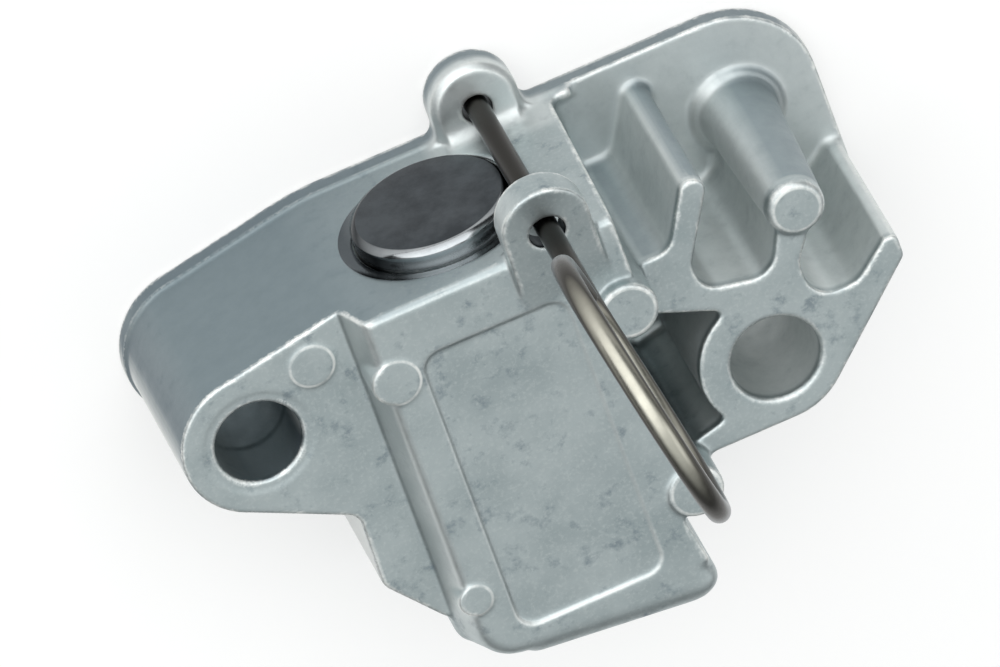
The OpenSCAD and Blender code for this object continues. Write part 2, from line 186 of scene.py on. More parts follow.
@dataclass(frozen=True)
class CastAluminium:
    """Die-cast aluminium, tumbled after casting.

    The eye gets a pale green grey satin skin with cloudy stains, a fine grain and thin worn edges painted bright as
    highlights. The pockets are paler, and the ring round the bore is turned smooth, with a painted reflection on it.
    Painted shade lies on the tops, on sides and floors in the pockets, on the walls that face left and in the pin's
    holes; painted highlights lie along wall edges and round the marks and the recess, and painted light on the rear
    ear and the strip beside the panel.
    """

    body: str = "#b3bcbd"
    cloud: str = "#9ca7a9"
    stain: str = "#75828a"
    frost: str = "#c6cdcc"
    # Worn edges painted bright as highlights, and painted highlights on wall edges, mark rims and the recess's rim
    wear_and_highlight: str = "#f4f5f2"
    # Paler tone in the pockets
    pocket_pale: str = "#d6dbda"
    # Painted shade on the tops, and on upper sides and floors in the pockets
    side_shade: str = "#808d92"
    # Painted shade on the walls that face left and on the flange's side
    wall_shade: str = "#6b777e"
    shade: str = "#2e353b"
    # Painted light on the rear ear's face and on the strip beside the panel
    lit_pale: str = "#dfe3e2"
    # Painted dark reflection on the turned ring, going over to the pale painted reflection below
    turned: str = "#4f5559"
    turned_pale_reflection: str = "#9aa0a2"
    roughness: Span = (0.42, 0.56)
    turned_gloss: float = 0.26
    # Raw skin in the pockets has a dull oxide on it
    pocket_metal: float = 0.82
    cloud_mm: float = 7.0
    mottle_mm: float = 1.6
    # Real grit is near 0.1 mm; it is drawn coarser so that it shows
    grain_mm: float = 0.28
    # Strength and depth of the relief that the mottle and the grain give
    mottle_relief: Span = (0.3, 0.04 * MM)
    grain_relief: Span = (0.45, 0.02 * MM)
    pocket_x: float = 29.8 * MM
    pocket_z: Span = (1.5 * MM, 16.2 * MM)
    # Way that the upper sides of the rib and of the post face where painted shade lies on them, and the heights where
    # that shade starts
    side_shade_way: Point = (0.75, 0.66, 0.0)
    side_shade_y: Span = (-2.5 * MM, -0.5 * MM)
    side_shade_x: Span = (8 * MM, 26 * MM)
    # Axes of the pin's holes in the front and in the rear ear, with the radius that lies in the shade
    front_hole: Point = (24.4 * MM, 9.6 * MM, 1.38 * MM)
    rear_hole: Point = (24.47 * MM, 9.8 * MM, 1.12 * MM)
    between_ears: Span = (9.9 * MM, 10.1 * MM)
    ear_low: Point = (19.5 * MM, 7.2 * MM, 0.9 * MM)
    ear_high: Point = (30.0 * MM, 15.0 * MM, 5.6 * MM)
    # Axes of the ejector marks and of the post, with the radius of the painted highlight round each
    marks: tuple[Point, ...] = (
        (5.5 * MM, 4.25 * MM, 1.65 * MM), (10.5 * MM, 2.2 * MM, 1.8 * MM), (10.25 * MM, -17.6 * MM, 1.25 * MM),
        (27.9 * MM, 0.5 * MM, 1.95 * MM), (28.0 * MM, -16.4 * MM, 1.85 * MM), (42.2 * MM, 0.3 * MM, 1.75 * MM))
    mark_highlight: Span = (0.16 * MM, 0.05 * MM)
    strip_x: Span = (8.4 * MM, 10.6 * MM)
    strip_y: Span = (-21 * MM, -18 * MM)
    strip_z: float = 16.7 * MM
    flange_t: float = 1.6 * MM
    recess_mid: Span = (18.35 * MM, -9.15 * MM)
    recess_half: Span = (5.7 * MM, 12.45 * MM)
    recess_bend: float = 1.5 * MM
    # Width of the painted highlight on the recess's rim, and the heights over which it fades up from the lowest edge
    recess_highlight_width: Span = (0.22 * MM, 0.06 * MM)
    recess_highlight_fade: Span = (-20.5 * MM, -17.5 * MM)
    panel_z: Span = (19.5 * MM, 19.6 * MM)
    spot_axis: Point = (18.05 * MM, 0.0, 10.6 * MM)
    spot_radius: float = 7.31 * MM
    spot_y: float = 7.6 * MM
    # Where the painted reflection on the turned ring goes from dark to pale, from the axis
    spot_sweep: Span = (-6.5 * MM, -1.0 * MM)

    def make(self) -> bpy.types.Material:
        """Builds the material.

        Returns:
            The finished node material.
        """
        material, tree = new_material("die_cast_aluminium")
        coords = add_node(tree, "ShaderNodeTexCoord").outputs
        place, normal = coords["Object"], coords["Normal"]
        clouds, mottle, grain = (
            add_node(tree, "ShaderNodeTexNoise", {
                "Vector": place, "Scale": per_metre(size), "Detail": detail, "Roughness": PATTERN_MIX}).outputs["Fac"]
            for size, detail in ((self.cloud_mm, 4.0), (self.mottle_mm, 5.0), (self.grain_mm, 3.0)))
        pocket = self._pocket(tree, place)
        wall_shade = self._wall_shaded(tree, place, normal)
        # How far the skin faces the painted-light way
        turn = add_node(tree, "ShaderNodeVectorMath", {0: normal, 1: PAINTED_LIGHT_WAY}, operation="DOT_PRODUCT")
        turned = self._turned(tree, place, normal)
        along = add_node(tree, "ShaderNodeSeparateXYZ", {"Vector": place}).outputs["X"]
        start, end = (self.spot_axis[0] + x for x in self.spot_sweep)
        tone = coats(
            tree, self.body,
            (share(tree, (clouds, (0.42, 0.68), (0.0, 0.8))), self.cloud),
            (share(tree, (mottle, (0.56, 0.72), (0.0, 0.65))), self.stain),
            (share(tree, (grain, (0.5, 0.75), (0.0, 0.5))), self.frost),
            (share(tree, pocket, (mottle, (0.35, 0.65), (1.0, 0.75))), self.pocket_pale),
            # Painted shade on the tops and in the pockets
            (self._side_shaded(tree, place, normal), self.side_shade),
            # Painted shade on the walls that face left and on the flange's side
            (wall_shade, self.wall_shade),
            # Painted pale reflection along the edge of those walls, where they turn away from the painted-light way
            (share(tree, wall_shade, (turn.outputs["Value"], (0.3, 0.07), (0.0, 0.85))), self.wear_and_highlight),
            # Painted light on the rear ear and the strip beside the panel
            (self._lit_pale_faces(tree, place, normal), self.lit_pale),
            # Worn edges painted bright as highlights
            (self._edge_wear_and_highlight(tree, mottle, grain), self.wear_and_highlight),
            # Painted highlights round the ejector marks
            (self._mark_highlights(tree, place, normal, mottle), self.wear_and_highlight),
            # Painted highlight on the recess's rim
            (self._recess_highlight(tree, place, mottle), self.wear_and_highlight),
            (self._shaded(tree, place), self.shade),
            # Painted reflection on the turned ring, dark at the left and pale further right
            (turned, coats(tree, self.turned, (share(tree, (along, (start, end), FULL)), self.turned_pale_reflection))))
        rough = share(tree, (mottle, (0.3, 0.7), self.roughness))
        rough = add_node(tree, "ShaderNodeMath", {0: turned, 1: -self.turned_gloss, 2: rough},
                         operation="MULTIPLY_ADD")
        relief = {}
        for height, (strength, depth) in ((mottle, self.mottle_relief), (grain, self.grain_relief)):
            bump = add_node(tree, "ShaderNodeBump", {
                "Height": height, "Strength": strength, "Distance": depth, **relief})
            relief = {"Normal": bump.outputs["Normal"]}
        shader = add_node(tree, "ShaderNodeBsdfPrincipled", {
            "Base Color": tone, "Roughness": rough.outputs["Value"],
            "Metallic": share(tree, (pocket, FULL, (1.0, self.pocket_metal))), **relief})
        add_node(tree, "ShaderNodeOutputMaterial", {"Surface": shader.outputs["BSDF"]})
        return material

    def _edge_wear_and_highlight(self, tree: Tree, mottle: Socket, grain: Socket) -> Socket:
        """Gives where an edge is worn and painted bright as a highlight: a thin line, broken up by the mottle and the
        grain.

        Args:
            tree: Node tree to add to.
            mottle: Coarser pattern.
            grain: Finer pattern.

        Returns:
            The share of the worn edge and highlight tone.
        """
        edge = add_node(tree, "ShaderNodeAttribute", attribute_name=EDGE).outputs["Fac"]
        return share(tree, (edge, (0.3, 0.75), (0.0, 0.8)), (mottle, (0.38, 0.58), (0.15, 1.0)),
                     (grain, (0.3, 0.6), (0.5, 1.0)))

    def _pocket(self, tree: Tree, place: Socket) -> Socket:
        """Gives where the skin lies below the face of the right web and above the flange.

        Args:
            tree: Node tree to add to.
            place: Coordinates in metres.

        Returns:
            One in the pockets, zero elsewhere.
        """
        axes = add_node(tree, "ShaderNodeSeparateXYZ", {"Vector": place}).outputs
        low, high = self.pocket_z
        return share(tree, (axes["X"], (self.pocket_x, self.pocket_x + MM), FULL),
                     (axes["Z"], (high, high - 0.5 * MM), FULL), (axes["Z"], (low - 0.1 * MM, low), FULL))

    def _side_shaded(self, tree: Tree, place: Socket, normal: Socket) -> Socket:
        """Gives where painted shade lies: on the top towards its left end, and on upper sides and floors in the
        pockets.

        Args:
            tree: Node tree to add to.
            place: Coordinates in metres.
            normal: Way that the skin faces.

        Returns:
            The share of the painted shade.
        """
        axes = add_node(tree, "ShaderNodeSeparateXYZ", {"Vector": place}).outputs
        ways = add_node(tree, "ShaderNodeSeparateXYZ", {"Vector": normal}).outputs
        pocket = self._pocket(tree, place)
        slant = add_node(tree, "ShaderNodeVectorMath", {0: normal, 1: self.side_shade_way}, operation="DOT_PRODUCT")
        total = share(tree, (ways["Y"], (0.45, 0.9), FULL), (axes["X"], self.side_shade_x, (1.0, 0.1)))
        sides = share(tree, (slant.outputs["Value"], (0.0, 0.7), (0.0, 0.85)), (axes["Y"], self.side_shade_y, (0.1, 1.0)),
                      pocket)
        floors = share(tree, (ways["Z"], (0.8, 0.95), (0.0, 0.3)), pocket)
        for part in (sides, floors):
            total = add_node(tree, "ShaderNodeMath", {0: total, 1: part}, operation="MAXIMUM").outputs["Value"]
        return total

    def _wall_shaded(self, tree: Tree, place: Socket, normal: Socket) -> Socket:
        """Gives the painted shade on the walls that face left, below the strip beside the panel, and on the side of
        the flange.

        Args:
            tree: Node tree to add to.
            place: Coordinates in metres.
            normal: Way that the skin faces.

        Returns:
            The share of the painted shade.
        """
        axes = add_node(tree, "ShaderNodeSeparateXYZ", {"Vector": place}).outputs
        ways = add_node(tree, "ShaderNodeSeparateXYZ", {"Vector": normal}).outputs
        left = share(tree, (ways["X"], (-0.45, -0.85), (0.0, 0.85)),
                     (axes["X"], (self.strip_x[0], self.strip_x[0] - MM), FULL))
        flange = share(tree, (axes["Z"], (self.flange_t, self.flange_t - 0.3 * MM), (0.0, 0.65)),
                       (ways["Z"], (0.7, 0.3), FULL))
        return add_node(tree, "ShaderNodeMath", {0: left, 1: flange}, operation="MAXIMUM").outputs["Value"]

    def _mark_highlights(self, tree: Tree, place: Socket, normal: Socket, mottle: Socket) -> Socket:
        """Gives the thin painted highlight round each ejector mark, broken up by the mottle.

        Args:
            tree: Node tree to add to.
            place: Coordinates in metres.
            normal: Way that the skin faces.
            mottle: Pattern that breaks up the line.

        Returns:
            The share of the highlight tone.
        """
        total = None
        for x, y, radius in self.marks:
            away = self._from_line(tree, self._reach(tree, place, (x, y, 0.0), (1.0, 1.0, 0.0)), radius)
            line = share(tree, (away, self.mark_highlight, FULL))
            total = line if total is None else add_node(
                tree, "ShaderNodeMath", {0: total, 1: line}, operation="MAXIMUM").outputs["Value"]
        front = add_node(tree, "ShaderNodeSeparateXYZ", {"Vector": normal}).outputs["Z"]
        return share(tree, total, (front, (0.6, 0.9), FULL), (mottle, (0.4, 0.6), (0.2, 0.8)))

    def _recess_highlight(self, tree: Tree, place: Socket, mottle: Socket) -> Socket:
        """Gives the painted highlight on the rim of the recess in the panel, most of it along the lowest edge.

        Args:
            tree: Node tree to add to.
            place: Coordinates in metres.
            mottle: Pattern that breaks up the line.

        Returns:
            The share of the highlight tone.
        """
        (wide, high), bend = self.recess_half, self.recess_bend
        out = place
        for step, value in (("SUBTRACT", (*self.recess_mid, 0.0)), ("MULTIPLY", (1.0, 1.0, 0.0)),
                            ("ABSOLUTE", (0.0, 0.0, 0.0)), ("SUBTRACT", (wide - bend, high - bend, 0.0)),
                            ("MAXIMUM", (0.0, 0.0, 0.0))):
            out = add_node(tree, "ShaderNodeVectorMath", {0: out, 1: value}, operation=step).outputs["Vector"]
        reach = add_node(tree, "ShaderNodeVectorMath", {0: out}, operation="LENGTH").outputs["Value"]
        axes = add_node(tree, "ShaderNodeSeparateXYZ", {"Vector": place}).outputs
        return share(tree, (self._from_line(tree, reach, bend), self.recess_highlight_width, FULL),
                     (axes["Y"], self.recess_highlight_fade, (0.55, 0.15)), (axes["Z"], self.panel_z, FULL),
                     (mottle, (0.35, 0.6), (0.4, 1.0)))

    def _shaded(self, tree: Tree, place: Socket) -> Socket:
        """Gives where the pin's holes stay dark.

        Args:
            tree: Node tree to add to.
            place: Coordinates in metres.

        Returns:
            The share of the shade.
        """
        height = add_node(tree, "ShaderNodeSeparateXYZ", {"Vector": place}).outputs["Z"]
        shades = []
        for (x, y, radius), depth in ((self.front_hole, FULL), (self.rear_hole, (0.7, 0.0))):
            reach = self._reach(tree, place, (x, y, 0.0), (1.0, 1.0, 0.0))
            shades.append(share(tree, (reach, (radius + 0.04 * MM, radius), FULL), (height, self.between_ears, depth)))
        return add_node(tree, "ShaderNodeMath", {0: shades[0], 1: shades[1]}, operation="MAXIMUM").outputs["Value"]

    def _lit_pale_faces(self, tree: Tree, place: Socket, normal: Socket) -> Socket:
        """Gives where painted light makes the skin pale: the face of the rear ear and the strip beside the panel.

        Args:
            tree: Node tree to add to.
            place: Coordinates in metres.
            normal: Way that the skin faces.

        Returns:
            The share of the painted light.
        """
        axes = add_node(tree, "ShaderNodeSeparateXYZ", {"Vector": place}).outputs
        ways = add_node(tree, "ShaderNodeSeparateXYZ", {"Vector": normal}).outputs
        # The ear's share fades over a millimetre at the sides of its box
        ear = share(tree, *(
            (axes["XYZ"[a]], (edge, edge + way * MM), FULL)
            for a in range(3) for edge, way in ((self.ear_low[a], 1), (self.ear_high[a], -1))))
        ear = share(tree, (ear, FULL, (0.0, 0.65)))
        strip = share(tree, (ways["X"], (-0.2, -0.8), FULL), (axes["X"], self.strip_x, (0.7, 0.5)),
                      (axes["Y"], self.strip_y, (0.2, 1.0)),
                      (axes["X"], (self.strip_x[0] - 0.2 * MM, self.strip_x[0]), FULL),
                      (axes["Z"], (self.strip_z, self.strip_z + 0.3 * MM), FULL))
        return add_node(tree, "ShaderNodeMath", {0: ear, 1: strip}, operation="MAXIMUM").outputs["Value"]

    def _turned(self, tree: Tree, place: Socket, normal: Socket) -> Socket:
        """Gives where the spot face round the bore is turned.

        Args:
            tree: Node tree to add to.
            place: Coordinates in metres.
            normal: Way that the skin faces.

        Returns:
            One on the turned ring, zero elsewhere.
        """
        reach = self._reach(tree, place, self.spot_axis, (1.0, 0.0, 1.0))
        height = add_node(tree, "ShaderNodeSeparateXYZ", {"Vector": place}).outputs["Y"]
        upward = add_node(tree, "ShaderNodeSeparateXYZ", {"Vector": normal}).outputs["Y"]
        return share(tree, (reach, (self.spot_radius, self.spot_radius - 0.04 * MM), FULL),
                     (height, (self.spot_y - 0.1 * MM, self.spot_y), FULL), (upward, (0.7, 0.8), FULL))

    def _reach(self, tree: Tree, place: Socket, axis: Point, across: Point) -> Socket:
        """Gives the distance from an axis.

        Args:
            tree: Node tree to add to.
            place: Coordinates in metres.
            axis: A point of the axis.
            across: One for each coordinate across the axis, zero for the one along it.

        Returns:
            The distance in metres.
        """
        out = add_node(tree, "ShaderNodeVectorMath", {0: place, 1: axis}, operation="SUBTRACT").outputs["Vector"]
        flat = add_node(tree, "ShaderNodeVectorMath", {0: out, 1: across}, operation="MULTIPLY").outputs["Vector"]
        return add_node(tree, "ShaderNodeVectorMath", {0: flat}, operation="LENGTH").outputs["Value"]

    def _from_line(self, tree: Tree, reach: Socket, radius: float) -> Socket:
        """Gives how far a place lies from a round line, on either side of it.

        Args:
            tree: Node tree to add to.
            reach: Distance from the line's middle.
            radius: Radius of the line.

        Returns:
            The distance in metres.
        """
        away = add_node(tree, "ShaderNodeMath", {0: reach, 1: radius}, operation="SUBTRACT").outputs["Value"]
        return add_node(tree, "ShaderNodeMath", {0: away}, operation="ABSOLUTE").outputs["Value"]


@dataclass(frozen=True)
class TurnedSteel:
    """Steel with a ground or drawn skin.

    The eye gets a smooth metal with faint cloudy tones and fine scratches along one way.
    """

    name: str
    body: str
    cloud: str
    roughness: Span
    cloud_mm: float = 2.5
    # Real grinding lines are near 0.02 mm; they are drawn coarser so that they show
    line_mm: float = 0.12
    line_way: Point = (1.0, 0.08, 1.0)
    line_depth: float = 0.01 * MM
    # Painted dark reflection on the sides and a painted pale rim at their edge, while the front and the back keep the
    # bright tone; none leaves one tone all over
    flank_shade: str | None = None
    flank_shade_span: Span = (0.88, 0.5)
    rim_reflection: str = "#c3c9cd"

    def make(self) -> bpy.types.Material:
        """Builds the material.

        Returns:
            The finished node material.
        """
        material, tree = new_material(self.name)
        coords = add_node(tree, "ShaderNodeTexCoord").outputs
        place = coords["Object"]
        drawn = add_node(tree, "ShaderNodeMapping", {"Vector": place, "Scale": self.line_way}).outputs["Vector"]
        clouds, lines = (
            add_node(tree, "ShaderNodeTexNoise", {
                "Vector": where, "Scale": per_metre(size), "Detail": detail, "Roughness": PATTERN_MIX}).outputs["Fac"]
            for where, size, detail in ((place, self.cloud_mm, 4.0), (drawn, self.line_mm, 2.0)))
        relief = add_node(tree, "ShaderNodeBump", {"Height": lines, "Strength": 0.15, "Distance": self.line_depth})
        tone = coats(tree, self.body, (share(tree, (clouds, (0.38, 0.66), FULL)), self.cloud))
        if self.flank_shade:
            # Painted dark reflection on the flanks and a painted pale rim, by how the skin turns from the
            # painted-light way
            turn = add_node(tree, "ShaderNodeVectorMath", {0: coords["Normal"], 1: PAINTED_LIGHT_WAY},
                            operation="DOT_PRODUCT").outputs["Value"]
            turn = add_node(tree, "ShaderNodeMath", {0: turn}, operation="ABSOLUTE").outputs["Value"]
            tone = coats(tree, tone, (share(tree, (turn, self.flank_shade_span, FULL)), self.flank_shade),
                         (share(tree, (turn, (0.28, 0.03), (0.0, 0.45))), self.rim_reflection))
        shader = add_node(tree, "ShaderNodeBsdfPrincipled", {
            "Base Color": tone, "Roughness": share(tree, (lines, (0.3, 0.7), self.roughness)), "Metallic": 1.0,
            "Normal": relief.outputs["Normal"]})
        add_node(tree, "ShaderNodeOutputMaterial", {"Surface": shader.outputs["BSDF"]})
        return material


@dataclass(frozen=True)
class MouldedNylon:
    """Moulded natural nylon: a waxy off-white with a faint flow of tone."""

    body: str = "#ddd6c2"
    flow: str = "#cfc6ae"
    flow_mm: float = 3.0
    roughness: float = 0.45
    ior: float = 1.53

    def make(self) -> bpy.types.Material:
        """Builds the material.

        Returns:
            The finished node material.
        """
        material, tree = new_material("moulded_nylon")
        place = add_node(tree, "ShaderNodeTexCoord").outputs["Object"]
        flow = add_node(tree, "ShaderNodeTexNoise", {
            "Vector": place, "Scale": per_metre(self.flow_mm), "Detail": 3.0, "Roughness": PATTERN_MIX}).outputs["Fac"]
        shader = add_node(tree, "ShaderNodeBsdfPrincipled", {
            "Base Color": coats(tree, self.body, (flow, self.flow)), "Roughness": self.roughness, "IOR": self.ior})
        add_node(tree, "ShaderNodeOutputMaterial", {"Surface": shader.outputs["BSDF"]})
        return material


@dataclass(frozen=True)
class Camera:
    """Camera at the photograph's viewing angle, far off with a long lens."""

    right: Point = (0.915205, -0.297472, 0.271864)
    up: Point = (0.396278, 0.786919, -0.472993)
    back: Point = (-0.073232, 0.540619, 0.838074)
    aim: Point = (18.93 * MM, 1.05 * MM, 17.58 * MM)
    width: float = 71.84 * MM
    lens: float = 1100.0
    sensor: float = 36.0

    def build(self) -> bpy.types.Object:
        """Makes the camera and hands it to the scene.

        Returns:
            The camera.
        """
        data = bpy.data.cameras.new("camera")
        data.lens, data.sensor_width = self.lens, self.sensor
        far = self.width * self.lens / self.sensor
        data.clip_start, data.clip_end = far * 0.5, far * 2
        camera = bpy.data.objects.new("camera", data)
        turn = Matrix((self.right, self.up, self.back)).transposed().to_4x4()
        camera.matrix_world = Matrix.Translation(Vector(self.aim) + Vector(self.back) * far) @ turn
        bpy.context.scene.collection.objects.link(camera)
        bpy.context.scene.camera = camera
        return camera


@dataclass(frozen=True)
class Softbox:
    """One square studio lamp that looks at the part."""

    name: str
    place: Point
    size: float
    power: float
    tint: str = "#ffffff"

    def build(self, aim: Vector) -> bpy.types.Object:
        """Makes the lamp.

        Args:
            aim: Point that the lamp looks at.

        Returns:
            The lamp.
        """
        data = bpy.data.lights.new(self.name, "AREA")
        data.energy, data.size, data.color = self.power, self.size, linear(self.tint)[:3]
        lamp = bpy.data.objects.new(self.name, data)
        lamp.location = self.place
        lamp.rotation_euler = (aim - Vector(self.place)).to_track_quat("-Z", "Y").to_euler()
        bpy.context.scene.collection.objects.link(lamp)
        return lamp


@dataclass(frozen=True)
class Studio:
    """Pale floor, soft lamps and a plain dome."""

    floor_half: float = 1.5
    floor_drop: float = 0.05 * MM
    floor_white: str = "#f2f2f1"
    shown_white: float = 0.5
    zenith: str = "#e4e7e7"
    horizon: str = "#2b2e30"
    # Heights of the dome's direction between which it turns from dark to pale, and from dark to white below
    dome_rise: Span = (0.15, 0.8)
    dome_foot: Span = (0.0, -0.01)
    aim: Point = (0.02, 0.0, 0.01)
    lamps: tuple[Softbox, ...] = (
        Softbox("front_softbox", (-0.09, 0.36, 0.38), 0.95, 4.5),
        Softbox("side_softbox", (0.38, -0.10, 0.30), 0.3, 0.25),
    )

    def build(self) -> None:
        """Makes the floor, the lamps and the dome, and sets the view."""
        scene = bpy.context.scene
        scene.view_settings.view_transform = "Standard"
        self._floor()
        self._dome(scene)
        for lamp in self.lamps:
            lamp.build(Vector(self.aim))

    def _floor(self) -> None:
        """Lays the floor just under the mounting face."""
        half, low = self.floor_half, -self.floor_drop
        mesh = bpy.data.meshes.new("floor")
        corners = [(-half, -half, low), (half, -half, low), (half, half, low), (-half, half, low)]
        mesh.from_pydata(corners, [], [(0, 1, 2, 3)])
        floor = bpy.data.objects.new("floor", mesh)
        bpy.context.scene.collection.objects.link(floor)
        # Matt paper: an even white that takes a soft shadow
        material, tree = new_material("white_paper")
        paper = add_node(tree, "ShaderNodeBsdfDiffuse", {"Color": linear(self.floor_white)})
        white = add_node(tree, "ShaderNodeEmission", {"Color": (1.0, 1.0, 1.0, 1.0), "Strength": 1.0})
        rays = add_node(tree, "ShaderNodeLightPath").outputs
        seen = rays["Is Camera Ray"]
        for name in ("Is Glossy Ray", "Is Transmission Ray"):
            seen = add_node(tree, "ShaderNodeMath", {0: seen, 1: rays[name]}, operation="MAXIMUM").outputs["Value"]
        share = add_node(tree, "ShaderNodeMath", {0: seen, 1: self.shown_white}, operation="MULTIPLY").outputs["Value"]
        mixed = add_node(tree, "ShaderNodeMixShader", {
            "Fac": share, 1: paper.outputs["BSDF"], 2: white.outputs["Emission"]})
        add_node(tree, "ShaderNodeOutputMaterial", {"Surface": mixed.outputs["Shader"]})
        mesh.materials.append(material)

    def _dome(self, scene: bpy.types.Scene) -> None:
        """Makes the dome, pale overhead, dark at the horizon, and white like the floor below it.

        Args:
            scene: Scene that the dome lights.
        """
        world = bpy.data.worlds.new("studio_dome")
        world.use_nodes = True
        tree = world.node_tree
        tree.nodes.clear()
        way = add_node(tree, "ShaderNodeTexCoord").outputs["Generated"]
        height = add_node(tree, "ShaderNodeSeparateXYZ", {"Vector": way}).outputs["Z"]
        rise = add_node(tree, "ShaderNodeMapRange", {
            "Value": height, "From Min": self.dome_rise[0], "From Max": self.dome_rise[1]},
            interpolation_type="SMOOTHSTEP")
        tone = add_node(tree, "ShaderNodeMix", {
            "Factor": rise.outputs["Result"], "A": linear(self.horizon), "B": linear(self.zenith)}, data_type="RGBA")
        below = add_node(tree, "ShaderNodeMapRange", {
            "Value": height, "From Min": self.dome_foot[0], "From Max": self.dome_foot[1]})
        shown = add_node(tree, "ShaderNodeMix", {
            "Factor": below.outputs["Result"], "A": tone.outputs["Result"], "B": (1.0, 1.0, 1.0, 1.0)},
            data_type="RGBA")
        light = add_node(tree, "ShaderNodeBackground", {"Color": shown.outputs["Result"], "Strength": 1.0})
        add_node(tree, "ShaderNodeOutputWorld", {"Surface": light.outputs["Background"]})
        scene.world = world


def link_mesh(name: str, points: np.ndarray, faces: list[list[int]], material: bpy.types.Material,
              body: Body) -> bpy.types.Object:
    """Makes a smooth mesh piece that rides on a body.

    Args:
        name: Name of the piece.
        points: Vertices in metres.
        faces: Faces as lists of vertex numbers.
        material: Finish of the piece.
        body: Body that carries it.

    Returns:
        The piece.
    """
    mesh = bpy.data.meshes.new(name)
    mesh.from_pydata([tuple(map(float, p)) for p in points], [], faces)
    mesh.validate()
    mesh.shade_smooth()
    mesh.materials.append(material)
    piece = bpy.data.objects.new(name, mesh)
    bpy.context.scene.collection.objects.link(piece)
    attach(piece, body.value)
    return piece


def dress(node: str, material: bpy.types.Material) -> None:
    """Gives a CAD node its finish.

    Args:
        node: Name of the node.
        material: Its finish.
    """
    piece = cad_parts[node]
    piece.data.materials.clear()
    piece.data.materials.append(material)


@dataclass(frozen=True)
class Wire:
    """Round wire swept along a path."""

    radius: float
    sides: int
    end_round: float = 0.0

    def skin(self, path: np.ndarray) -> tuple[np.ndarray, list[list[int]]]:
        """Sweeps the wire.

        Args:
            path: Points of the middle line, in metres.

        Returns:
            Vertices and faces of the closed skin.
        """
        ways = np.gradient(path, axis=0)
        ways /= np.linalg.norm(ways, axis=1)[:, None]
        side = np.cross(ways[0], (0.31, 0.87, 0.38))
        rings = []
        spread = np.linspace(0, 2 * math.pi, self.sides, endpoint=False)
        scales = np.ones(len(path))
        if self.end_round:
            run = np.concatenate([[0], np.cumsum(np.linalg.norm(np.diff(path, axis=0), axis=1))])
            near = np.minimum(run, run[-1] - run)
            sunk = np.clip(1 - near / self.end_round, 0, 1)
            scales = 1 - (self.end_round / self.radius) * (1 - np.sqrt(np.clip(1 - sunk**2, 0, 1)))
        for point, way, scale in zip(path, ways, scales):
            side = side - way * (side @ way)
            side /= np.linalg.norm(side)
            other = np.cross(way, side)
            ring = np.outer(np.cos(spread), side) + np.outer(np.sin(spread), other)
            rings.append(point + ring * self.radius * scale)
        n, last = self.sides, len(path) - 1
        faces = [[i * n + k, i * n + (k + 1) % n, (i + 1) * n + (k + 1) % n, (i + 1) * n + k]
                 for i in range(last) for k in range(n)]
        faces.append(list(range(n - 1, -1, -1)))
        faces.append([last * n + k for k in range(n)])
        return np.concatenate(rings), faces


@dataclass(frozen=True)
class Bore:
    """Axis of the plunger bore, along Y."""

    x: float = 18.05 * MM
    z: float = 10.6 * MM

    def at(self, out: np.ndarray, turn: np.ndarray, y: np.ndarray) -> np.ndarray:
        """Gives points round the axis.

        Args:
            out: Distances from the axis.
            turn: Angles about it, in radians.
            y: Heights along it.

        Returns:
            Points in the part's frame.
        """
        return np.stack([self.x + out * np.cos(turn), y, self.z - out * np.sin(turn)], axis=-1)


